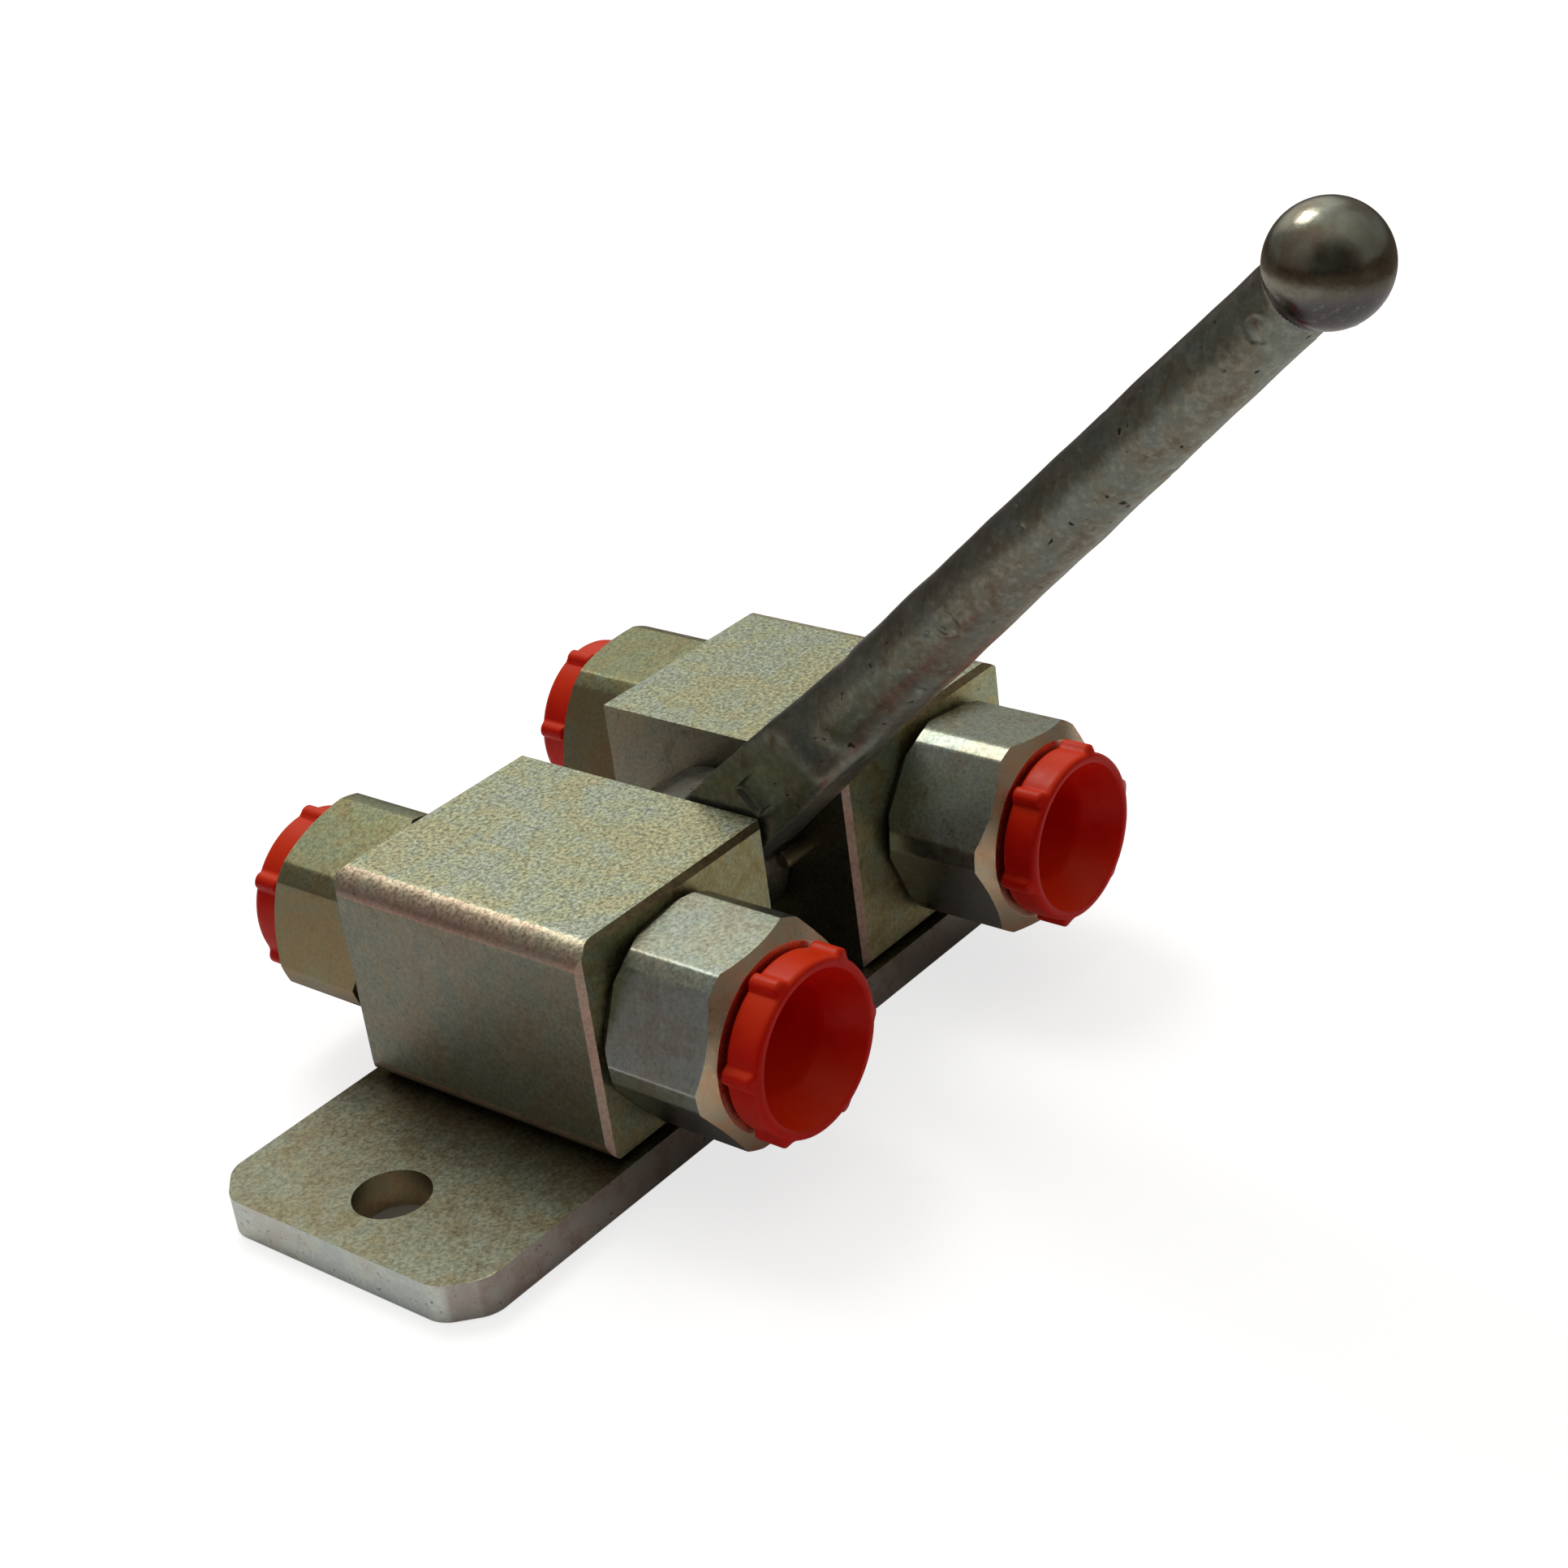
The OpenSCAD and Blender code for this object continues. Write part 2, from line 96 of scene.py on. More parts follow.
class Shader:
    """A material being built: each method adds one node and returns its output."""

    def __init__(self, name, metallic=0.0, roughness=0.5):
        self.material = bpy.data.materials.new(name)
        self.material.use_nodes = True
        self.tree = self.material.node_tree
        self.bsdf = self.tree.nodes["Principled BSDF"]
        self.bsdf.inputs["Metallic"].default_value = metallic
        self.bsdf.inputs["Roughness"].default_value = roughness
        self.coords = self.node("ShaderNodeTexCoord").outputs["Object"]

    def node(self, kind, **values):
        n = self.tree.nodes.new(kind)
        for key, value in values.items():
            setattr(n, key, value)
        return n

    def put(self, socket, value):
        if isinstance(value, bpy.types.NodeSocket):
            self.tree.links.new(value, socket)
        else:
            socket.default_value = value

    def stretched(self, scale):
        """The place on the piece with each axis scaled, for marks longer one way."""
        n = self.node("ShaderNodeMapping")
        self.put(n.inputs["Vector"], self.coords)
        n.inputs["Scale"].default_value = scale
        return n.outputs["Vector"]

    def noise(self, size, detail=3.0, rough=0.55, distortion=0.0, coords=None):
        """Noise whose features are about size millimetres across, from 0 to 1."""
        n = self.node("ShaderNodeTexNoise")
        self.put(n.inputs["Vector"], self.coords if coords is None else coords)
        n.inputs["Scale"].default_value = 1.0 / (size * MM)
        n.inputs["Detail"].default_value = detail
        n.inputs["Roughness"].default_value = rough
        n.inputs["Distortion"].default_value = distortion
        return n.outputs["Fac"]

    def span(self, value, low, high, to_low=0.0, to_high=1.0, smooth=False):
        n = self.node("ShaderNodeMapRange")
        if smooth:
            n.interpolation_type = "SMOOTHSTEP"
        self.put(n.inputs["Value"], value)
        for key, v in (("From Min", low), ("From Max", high), ("To Min", to_low), ("To Max", to_high)):
            n.inputs[key].default_value = v
        return n.outputs["Result"]

    def ramp(self, value, stops):
        n = self.node("ShaderNodeValToRGB")
        self.put(n.inputs["Fac"], value)
        elements = n.color_ramp.elements
        while len(elements) < len(stops):
            elements.new(0.5)
        for element, (place, colour) in zip(elements, stops):
            element.position = place
            element.color = (*colour, 1)
        return n.outputs["Color"]

    def mix(self, factor, a, b, blend="MIX"):
        n = self.node("ShaderNodeMix", data_type="RGBA", blend_type=blend)
        self.put(n.inputs["Factor"], factor)
        self.put(n.inputs["A"], a if isinstance(a, bpy.types.NodeSocket) else (*a, 1))
        self.put(n.inputs["B"], b if isinstance(b, bpy.types.NodeSocket) else (*b, 1))
        return n.outputs["Result"]

    def math(self, operation, a, b=0.0):
        n = self.node("ShaderNodeMath", operation=operation)
        self.put(n.inputs[0], a)
        self.put(n.inputs[1], b)
        return n.outputs["Value"]

    def facing(self, axis):
        """How much the surface faces along a row axis, from -1 to 1."""
        g = self.node("ShaderNodeNewGeometry")
        n = self.node("ShaderNodeSeparateXYZ")
        self.put(n.inputs["Vector"], g.outputs["Normal"])
        return n.outputs["XYZ".index(axis)]

    def own_facing(self, axis):
        """The same for the piece's own axes, so that it stays put when the piece moves."""
        c = self.node("ShaderNodeTexCoord")
        n = self.node("ShaderNodeSeparateXYZ")
        self.put(n.inputs["Vector"], c.outputs["Normal"])
        return n.outputs["XYZ".index(axis)]

    def place(self, axis):
        n = self.node("ShaderNodeSeparateXYZ")
        self.put(n.inputs["Vector"], self.coords)
        return n.outputs["XYZ".index(axis)]

    def bump(self, height, distance_mm, strength=1.0, under=None):
        n = self.node("ShaderNodeBump")
        n.inputs["Strength"].default_value = strength
        n.inputs["Distance"].default_value = distance_mm * MM
        self.put(n.inputs["Height"], height)
        if under is not None:
            self.put(n.inputs["Normal"], under)
        return n.outputs["Normal"]

    def finish(self, colour, roughness=None, normal=None):
        self.put(self.bsdf.inputs["Base Color"], colour)
        if roughness is not None:
            self.put(self.bsdf.inputs["Roughness"], roughness)
        if normal is not None:
            self.put(self.bsdf.inputs["Normal"], normal)
        return self.material


STAIN = (0.12, 0.10, 0.065)
SPECK = (0.07, 0.055, 0.04)
# painted shade for faces turned downwards
UNDERSIDE_SHADE = (0.05, 0.042, 0.028)
# painted shade for the line round a hexagon where it meets the block
HEX_FOOT_SHADE = (0.035, 0.03, 0.022)
TURNING_FEED = 0.22 * MM


def chromated_zinc(name, up, side, end, grain=0.5, spots=0.5, rough=(0.30, 0.46), side_grain=0.35,
                   foot=None):
    """Yellow-chromated zinc on steel: gold, green and pink tints that drift into each other. up, side
    and end are the tints of faces along Z, X and Y, set to how bright those faces look, so each is the
    zinc's own tint with painted light and shade in it. Faces turned downwards get painted shade.
    foot is where a line of painted shade runs round a hexagon, at its gap to the block."""
    s = Shader(name, metallic=1.0)
    drift = s.noise(9, 3, 0.6, 0.6)
    fine = s.noise(2.2, 4, 0.65)
    tint = s.math("ADD", s.math("MULTIPLY", drift, 0.62), s.math("MULTIPLY", fine, 0.38))
    up_tint = s.ramp(tint, [(0.42, up[0]), (0.5, up[1]), (0.58, up[2])])
    side_tint = s.ramp(tint, [(0.42, side[0]), (0.5, side[1]), (0.58, side[2])])
    end_tint = s.ramp(tint, [(0.42, end[0]), (0.5, end[1]), (0.58, end[2])])
    # painted light and shade: up-facing, upright and end faces each take the tint set for their brightness
    facing_up = s.span(s.facing("Z"), 0.35, 0.9, smooth=True)
    facing_end = s.span(s.math("ABSOLUTE", s.facing("Y")), 0.45, 0.9, smooth=True)
    colour = s.mix(facing_up, side_tint, up_tint)
    colour = s.mix(facing_end, colour, end_tint)
    # painted shade: faces turned downwards are darkened, most where they face straight down
    underside_shade = s.span(s.facing("Z"), -0.6, -0.12, 0.62, 0.0, smooth=True)
    colour = s.mix(underside_shade, colour, UNDERSIDE_SHADE)
    # crystals of the plating, brighter and darker
    crystal = s.noise(0.62, 3, 0.72)
    spark = s.span(crystal, 0.36, 0.64, -0.60 * grain, 0.58 * grain)
    on_top = s.math("MULTIPLY", spark, s.span(facing_up, 0, 1, side_grain, 1.0))
    light = s.math("MULTIPLY", s.math("ADD", on_top, 1.0), 0.5)
    colour = s.mix(1.0, colour, s.ramp(light, [(0.0, (0, 0, 0)), (1.0, (2, 2, 2))]), "MULTIPLY")
    # stains and handling marks
    stain = s.span(s.noise(5.5, 5, 0.7, 0.4), 0.60, 0.74, 0.0, 0.55 * spots, smooth=True)
    colour = s.mix(stain, colour, STAIN)
    speck = s.span(s.noise(0.9, 1, 0.5), 0.70, 0.76, 0.0, 0.7 * spots)
    colour = s.mix(speck, colour, SPECK)
    # painted shade: a dark line round the hexagon at its gap to the block
    if foot is not None:
        out = s.math("SUBTRACT", s.math("ABSOLUTE", s.place("Y")), foot)
        line = s.span(out, 0.75 * MM, 1.05 * MM, 0.9, 0.0, smooth=True)
        colour = s.mix(line, colour, HEX_FOOT_SHADE)
    roughness = s.span(s.math("ADD", s.math("MULTIPLY", fine, 0.6), s.math("MULTIPLY", crystal, 0.4)),
                       0.3, 0.7, rough[0], rough[1])
    roughness = s.math("ADD", roughness, s.math("MULTIPLY", stain, 0.15))
    bump = s.bump(crystal, 0.07 * grain + 0.010, 0.60)
    bump = s.bump(s.noise(3.2, 3, 0.6), 0.05, 0.35, under=bump)
    return s.finish(colour, roughness, bump)


def turned(name, x, base, tint, rough=0.30):
    """Turned steel: fine rings about a flow axis at that x, drifting yellow."""
    s = Shader(name, metallic=1.0)
    dx = s.math("SUBTRACT", s.place("X"), x)
    dz = s.math("SUBTRACT", s.place("Z"), AXIS_Z)
    r = s.math("SQRT", s.math("ADD", s.math("MULTIPLY", dx, dx), s.math("MULTIPLY", dz, dz)))
    rings = s.math("SINE", s.math("MULTIPLY", r, 2 * math.pi / TURNING_FEED))
    colour = s.mix(s.span(s.noise(6, 4, 0.6, 0.8), 0.40, 0.60), base, tint)
    roughness = s.span(s.noise(0.8, 3), 0.3, 0.7, rough - 0.06, rough + 0.10)
    bump = s.bump(s.noise(2.0, 3, 0.6), 0.04, 0.5)
    return s.finish(colour, roughness, s.bump(rings, 0.010, 0.7, under=bump))


def cast_zinc(name):
    """Dark die-cast arm: skin mottled brown and blue-grey, frosted in patches, with painted shade that makes its
    upper side darkest.
    """
    s = Shader(name, metallic=0.9)
    skin = s.ramp(s.noise(7, 5, 0.65, 0.8),
                  [(0.32, (0.20, 0.16, 0.11)), (0.45, (0.28, 0.27, 0.21)),
                   (0.60, (0.26, 0.30, 0.27)), (0.74, (0.36, 0.39, 0.32))])
    frost = s.span(s.noise(1.1, 4, 0.7), 0.46, 0.70, 0.0, 0.60)
    colour = s.mix(frost, skin, (0.50, 0.53, 0.45))
    # painted shade: faces turned upwards darken towards brown, broken up by noise
    upper = s.math("ADD", s.own_facing("Z"), s.math("MULTIPLY", s.noise(5, 4, 0.6), 0.5))
    brown = s.span(upper, 0.42, 0.92, 0.0, 0.80, smooth=True)
    colour = s.mix(brown, colour, (0.075, 0.068, 0.052))
    # painted shade: near-black spots stand for the shade inside small pits
    pit_shade = s.span(s.noise(1.4, 1, 0.4), 0.735, 0.77, 0.0, 0.9)
    colour = s.mix(pit_shade, colour, (0.02, 0.018, 0.016))
    rubbed = s.span(s.noise(2.4, 3, 0.7), 0.55, 0.72, 0.0, 0.35)
    colour = s.mix(rubbed, colour, (0.22, 0.20, 0.17))
    roughness = s.span(s.noise(1.8, 4, 0.65), 0.3, 0.7, 0.28, 0.46)
    bump = s.bump(s.noise(0.9, 4, 0.7), 0.05, 0.6)
    bump = s.bump(s.noise(4.5, 3, 0.6), 0.20, 0.5, under=bump)
    return s.finish(colour, roughness, bump)


def polished_cast(name):
    """The rubbed ball end: olive, with fine scratches, and a painted reflection that turns its lower half dark and
    bluish.
    """
    s = Shader(name, metallic=1.0)
    skin = s.ramp(s.noise(4, 4, 0.6, 0.4),
                  [(0.35, (0.27, 0.22, 0.16)), (0.52, (0.33, 0.33, 0.25)), (0.7, (0.40, 0.43, 0.36))])
    # painted reflection: the lower half darkens to a bluish grey that stands for the floor seen in it
    low = s.span(s.own_facing("Z"), -0.45, 0.10, 1.0, 0.0, smooth=True)
    skin = s.mix(low, skin, (0.13, 0.125, 0.135))
    scratch = s.span(s.noise(0.8, 4, 0.75, coords=s.stretched((1, 0.3, 0.6))), 0.56, 0.70, 0.0, 0.5)
    skin = s.mix(scratch, skin, (0.42, 0.40, 0.34))
    roughness = s.span(s.noise(1.0, 4, 0.7), 0.3, 0.7, 0.15, 0.31)
    bump = s.bump(s.noise(0.6, 3, 0.6), 0.020, 0.5)
    return s.finish(skin, roughness, bump)


def moulded_plastic(name):
    """Red polyethylene: faint flow marks, a slightly uneven gloss, and painted light that makes upward faces a
    brighter orange-red.
    """
    s = Shader(name, roughness=0.34)
    body = s.ramp(s.noise(6, 3, 0.5, 0.6),
                  [(0.35, (0.70, 0.006, 0.001)), (0.55, (0.76, 0.009, 0.002)), (0.7, (0.80, 0.016, 0.004))])
    scuff = s.span(s.noise(1.2, 5, 0.75, coords=s.stretched((1, 0.25, 1))), 0.64, 0.8, 0.0, 0.22)
    colour = s.mix(scuff, body, (0.86, 0.10, 0.05))
    # painted light: faces turned upwards get a brighter orange-red
    colour = s.mix(s.span(s.facing("Z"), 0.3, 1.0, smooth=True), colour, (0.88, 0.045, 0.006))
    roughness = s.span(s.noise(2.5, 4, 0.6), 0.3, 0.7, 0.26, 0.42)
    bump = s.bump(s.noise(0.5, 2, 0.5), 0.010, 0.5)
    bump = s.bump(s.noise(5.0, 2, 0.5), 0.06, 0.3, under=bump)
    s.bsdf.inputs["Specular IOR Level"].default_value = 0.16
    s.bsdf.inputs["Subsurface Weight"].default_value = 0.06
    s.bsdf.inputs["Subsurface Radius"].default_value = (0.9, 0.12, 0.05)
    s.bsdf.inputs["Subsurface Scale"].default_value = 0.0012
    return s.finish(colour, roughness, bump)


def plain_metal(name, low, high, rough=(0.2, 0.35), size=1.5, metallic=1.0, depth=0.01):
    """A simple finish that drifts between two colours; a low metallic makes it a rubber or a plastic."""
    s = Shader(name, metallic=metallic)
    colour = s.mix(s.noise(size, 4, 0.6), low, high)
    roughness = s.span(s.noise(size * 0.6, 3), 0.3, 0.7, rough[0], rough[1])
    return s.finish(colour, roughness, s.bump(s.noise(size * 0.25, 2), depth, 0.5))


# tints of the zinc, three to a list, that drift into each other. Each set belongs to one facing and was set to how
# bright those faces look, so it holds painted light and shade as well as the zinc's own tint
UP = [(0.43, 0.41, 0.25), (0.41, 0.43, 0.29), (0.39, 0.42, 0.33)]
SIDE = [(0.31, 0.28, 0.21), (0.31, 0.31, 0.24), (0.28, 0.30, 0.25)]
END = [(0.47, 0.42, 0.21), (0.54, 0.53, 0.30), (0.47, 0.54, 0.37)]
PINK_UP = [(0.60, 0.47, 0.34), (0.66, 0.53, 0.38), (0.60, 0.54, 0.38)]
SHADE_BROWN = [(0.24, 0.17, 0.09), (0.30, 0.23, 0.12), (0.26, 0.23, 0.13)]
PINK = [(0.48, 0.33, 0.27), (0.55, 0.38, 0.31), (0.48, 0.39, 0.31)]
PLATE_UP = [(0.26, 0.23, 0.14), (0.28, 0.27, 0.18), (0.28, 0.29, 0.21)]
PLATE_SIDE = [(0.78, 0.80, 0.74), (0.82, 0.90, 0.84), (0.74, 0.82, 0.80)]
# painted shade: the plate's long sides are darker than its bright sheared ends
PLATE_LONG = [(0.40, 0.33, 0.29), (0.46, 0.41, 0.37), (0.44, 0.43, 0.40)]
PLATE_EDGE = [(0.52, 0.50, 0.42), (0.58, 0.60, 0.52), (0.50, 0.54, 0.48)]
HEX = [(0.32, 0.31, 0.23), (0.34, 0.35, 0.26), (0.31, 0.34, 0.28)]
HEX_SIDE = [(0.50, 0.49, 0.46), (0.53, 0.56, 0.53), (0.50, 0.55, 0.55)]
HEX_YELLOW = [(0.26, 0.23, 0.12), (0.26, 0.26, 0.14), (0.24, 0.26, 0.16)]
HEX_BROWN = [(0.34, 0.26, 0.14), (0.33, 0.28, 0.16), (0.30, 0.29, 0.19)]

MATERIALS = {
    "block": chromated_zinc("block_zinc", UP, SIDE, END, grain=0.85, spots=0.6, rough=(0.36, 0.50)),
    # brown painted shade, for bevels on the blocks' top and bottom and for the plate's bolt hole walls
    "painted_shade_brown": chromated_zinc("block_bevel", SHADE_BROWN, SHADE_BROWN, SHADE_BROWN, grain=0.4, spots=0.4, rough=(0.34, 0.46)),
    # pinkish rounds and upright bevels, brighter than the faces: partly the zinc's tint, partly painted highlight
    "block_edge_tint_and_highlight": chromated_zinc("block_edge_tint_and_highlight", PINK_UP, PINK, PINK, grain=0.8, spots=0.6, rough=(0.36, 0.50)),
    "plate": chromated_zinc("plate_zinc", PLATE_UP, PLATE_SIDE, PLATE_LONG, grain=0.5, spots=0.7,
                            rough=(0.34, 0.46), side_grain=0.2),
    "plate_edge": chromated_zinc("plate_edge", PLATE_EDGE, PLATE_EDGE, PLATE_EDGE, grain=0.5, spots=0.6,
                                 rough=(0.25, 0.4)),
    "right_hexagon": chromated_zinc("hexagon_zinc", HEX, HEX_SIDE, END, grain=0.5, spots=0.35,
                                    rough=(0.24, 0.40), foot=BLOCK_END),
    "left_hexagon": chromated_zinc("hexagon_yellow", HEX_YELLOW, HEX_BROWN, END, grain=0.5, spots=0.35,
                                   rough=(0.28, 0.42), foot=BLOCK_END),
    # dark painted shade for the hexagons' back chamfers at the block
    "chamfer_shade": plain_metal("chamfer_shade", (0.03, 0.026, 0.02), (0.06, 0.05, 0.035), (0.45, 0.6), 0.8),
    # darker zinc for the stop pins, partly painted shade
    "pin": plain_metal("pin_zinc_and_shade", (0.20, 0.16, 0.09), (0.28, 0.24, 0.15), (0.38, 0.5), 0.8),
    "cast": cast_zinc("lever_casting"),
    "knob": polished_cast("lever_ball_end"),
    "plug": moulded_plastic("plug_plastic"),
    "ball": plain_metal("ball_chrome", (0.66, 0.67, 0.68), (0.74, 0.74, 0.74), (0.06, 0.14),
                        2.0, depth=0.002),
    "stem": plain_metal("stem_steel", (0.36, 0.37, 0.38), (0.46, 0.46, 0.46), (0.22, 0.36), 1.2),
    "seal": plain_metal("seal_rubber", (0.018, 0.018, 0.018), (0.03, 0.03, 0.03), (0.45, 0.6), 0.8, 0.0),
    "seat": plain_metal("seat_acetal", (0.72, 0.70, 0.63), (0.80, 0.78, 0.72), (0.4, 0.5), 1.5, 0.0),
    "dark_screw": plain_metal("blackened_steel", (0.03, 0.03, 0.03), (0.055, 0.052, 0.05), (0.3, 0.45),
                              0.8, 0.8),
    "screw": plain_metal("bright_zinc", (0.50, 0.51, 0.52), (0.60, 0.60, 0.60), (0.25, 0.38), 0.8),
}
for side, sign in SIDES.items():
    MATERIALS[f"{side}_turned"] = turned(f"{side}_turned_steel", sign * FLOW_X,
                                         (0.70, 0.47, 0.29), (0.62, 0.54, 0.38))


# ---------------------------------------------------------------------------
# pieces
# ---------------------------------------------------------------------------


def add(name, mesh, body, materials, nodes=()):
    """Links a mesh as a piece that rides on a body and stands for those CAD nodes."""
    piece = bpy.data.objects.new(name, mesh)
    bpy.context.scene.collection.objects.link(piece)
    for m in materials:
        mesh.materials.append(m)
    for polygon in mesh.polygons:
        polygon.use_smooth = True
    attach(piece, body)
    if nodes:
        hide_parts(*nodes)
    return piece


def clean_copy(node, angle=0.6):
    """A CAD node's mesh with its triangles merged back into whole faces."""
    bm = bmesh.new()
    bm.from_mesh(NODES[node].data)
    bmesh.ops.remove_doubles(bm, verts=bm.verts, dist=2e-6)
    bmesh.ops.dissolve_limit(bm, angle_limit=math.radians(angle), verts=bm.verts, edges=bm.edges,
                             use_dissolve_boundaries=False, delimit=set())
    mesh = bpy.data.meshes.new(node + "_detail")
    bm.to_mesh(mesh)
    bm.free()
    return mesh


def soften(piece, width_mm, segments=3, angle=28, edge_material=-1):
    """Breaks a piece's sharp edges with a small round."""
    m = piece.modifiers.new("edges", "BEVEL")
    m.width = width_mm * MM
    m.segments = segments
    m.limit_method = "ANGLE"
    m.angle_limit = math.radians(angle)
    m.use_clamp_overlap = True
    m.material = edge_material
    m.miter_outer = "MITER_ARC"
    m = piece.modifiers.new("flat faces", "WEIGHTED_NORMAL")
    m.weight = 100
    return piece


def applied(piece):
    """Turns a piece's modifiers into mesh."""
    bpy.context.view_layer.update()
    evaluated = piece.evaluated_get(bpy.context.evaluated_depsgraph_get())
    mesh = bpy.data.meshes.new_from_object(evaluated)
    old = piece.data
    piece.modifiers.clear()
    piece.data = mesh
    bpy.data.meshes.remove(old)
    return piece


def lathe(heights, segments, radius):
    """Vertices and faces of a surface turned about +Z through those heights. radius(row, angle)
    gives each point's distance from the axis."""
    angles = [2 * math.pi * k / segments for k in range(segments)]
    verts = []
    for i, h in enumerate(heights):
        for a in angles:
            r = radius(i, a)
            verts.append((r * math.cos(a), r * math.sin(a), h))
    faces = []
    for i in range(len(heights) - 1):
        low, high = i * segments, (i + 1) * segments
        for k in range(segments):
            n = (k + 1) % segments
            faces.append((low + k, low + n, high + n, high + k))
    return verts, faces


def build_blocks():
    """Material slots: faces; pinkish rounds and upright bevels, their tint partly painted highlight; bevels on top
    and bottom in brown painted shade.
    """
    for side in SIDES:
        node = f"{side}_block"
        piece = add(f"{side}_block_shell", clean_copy(node), BODY_OF[node],
                    [MATERIALS["block"], MATERIALS["block_edge_tint_and_highlight"], MATERIALS["painted_shade_brown"]], [node])
        for polygon in piece.data.polygons:
            n = polygon.normal
            bevelled = 0.5 < abs(n.y) < 0.9
            rounded = abs(n.y) < 0.1 and 0.12 < abs(n.z) < 0.97
            if bevelled and abs(n.z) > 0.4:
                polygon.material_index = 2
            else:
                polygon.material_index = 1 if bevelled or rounded else 0
        soften(piece, 0.18, 3)


def round_corners(piece):
    """Rounds the plate's upright corners, but not its holes."""
    weights = piece.data.attributes.new("bevel_weight_edge", "FLOAT", "EDGE")
    for edge in piece.data.edges:
        a, b = (piece.data.vertices[i].co for i in edge.vertices)
        upright = math.hypot(a.x - b.x, a.y - b.y) < 0.01 * MM
        outer = max(abs(a.x) - PLATE_HIGH.x, abs(a.y) - PLATE_HIGH.y) > -0.05 * MM
        weights.data[edge.index].value = 1.0 if upright and outer else 0.0
    m = piece.modifiers.new("round corners", "BEVEL")
    m.limit_method = "WEIGHT"
    m.width = PLATE_CORNER
    m.segments = 5
    applied(piece)


def build_plate():
    node = "mounting_plate"
    piece = add("plate_bar", clean_copy(node), BODY_OF[node],
                [MATERIALS["plate"], MATERIALS["plate_edge"], MATERIALS["painted_shade_brown"]], [node])
    round_corners(piece)
    for polygon in piece.data.polygons:
        c, n = polygon.center, polygon.normal
        # the bolt holes' walls take the brown painted shade
        in_hole = abs(n.z) < 0.5 and math.hypot(abs(c.x) - BOLT_X, c.y) < NEAR_BOLT
        polygon.material_index = 2 if in_hole else 0
    soften(piece, 0.40, 3, edge_material=1)


def build_connectors():
    """Material slots: hexagon, turned end faces, the chamfer at the block in dark painted shade, the bore."""
    for side in SIDES:
        for way in WAYS:
            node = f"{side}_{way}_connector"
            piece = add(f"{node}_shell", clean_copy(node), BODY_OF[node],
                        [MATERIALS[f"{way}_hexagon"], MATERIALS[f"{side}_turned"], MATERIALS["chamfer_shade"],
                         MATERIALS["screw"]], [node])
            centre_x = SIDES[side] * FLOW_X
            for polygon in piece.data.polygons:
                c, n = polygon.center, polygon.normal
                radial = math.hypot(c.x - centre_x, c.z - AXIS_Z)
                if abs(n.y) > 0.3:
                    polygon.material_index = 1
                elif radial < PORT_R:
                    polygon.material_index = 3
                # the chamfer facing the block takes the dark painted shade
                if abs(c.y) < BLOCK_END + HEX_CHAMFER and n.y * WAYS[way] < -0.3:
                    polygon.material_index = 2
            soften(piece, 0.25, 3)


def port_place(side, way):
    """Carries a shape drawn along +Z from a block's end face onto one port."""
    turn = Matrix.Rotation(-math.pi / 2 * WAYS[way], 4, "X")
    return Matrix.Translation((SIDES[side] * FLOW_X, WAYS[way] * BLOCK_END, AXIS_Z)) @ turn


# ---- the protective plug, in millimetres ----

RIB_TURN = {"front_right": 52, "rear_right": 9, "front_left": 28, "rear_left": 46}
COLLAR_HEIGHT = 5.6
COLLAR_R = 12.8
RIM_R = 11.2
STUD_R = 9.0
KNEE_R = 8.1
PLUG_WALL = 1.6
RIB_OUT, RIB_HALF = 1.15, 1.25
RIB_STEP = math.pi / 3
PITCH, THREAD_OUT = 1.81, 0.55
PLUG_FOOT = (PLUG_LOW.y - BLOCK_END) / MM
PLUG_TOP = (PLUG_HIGH.y - BLOCK_END) / MM
COLLAR_BASE = PLUG_TOP - COLLAR_HEIGHT
PLAIN, LOW_RIB, RIB, THREAD = "plain", "low rib", "rib", "thread"


def evenly(low, high, steps):
    return [low + (high - low) * i / steps for i in range(steps + 1)]


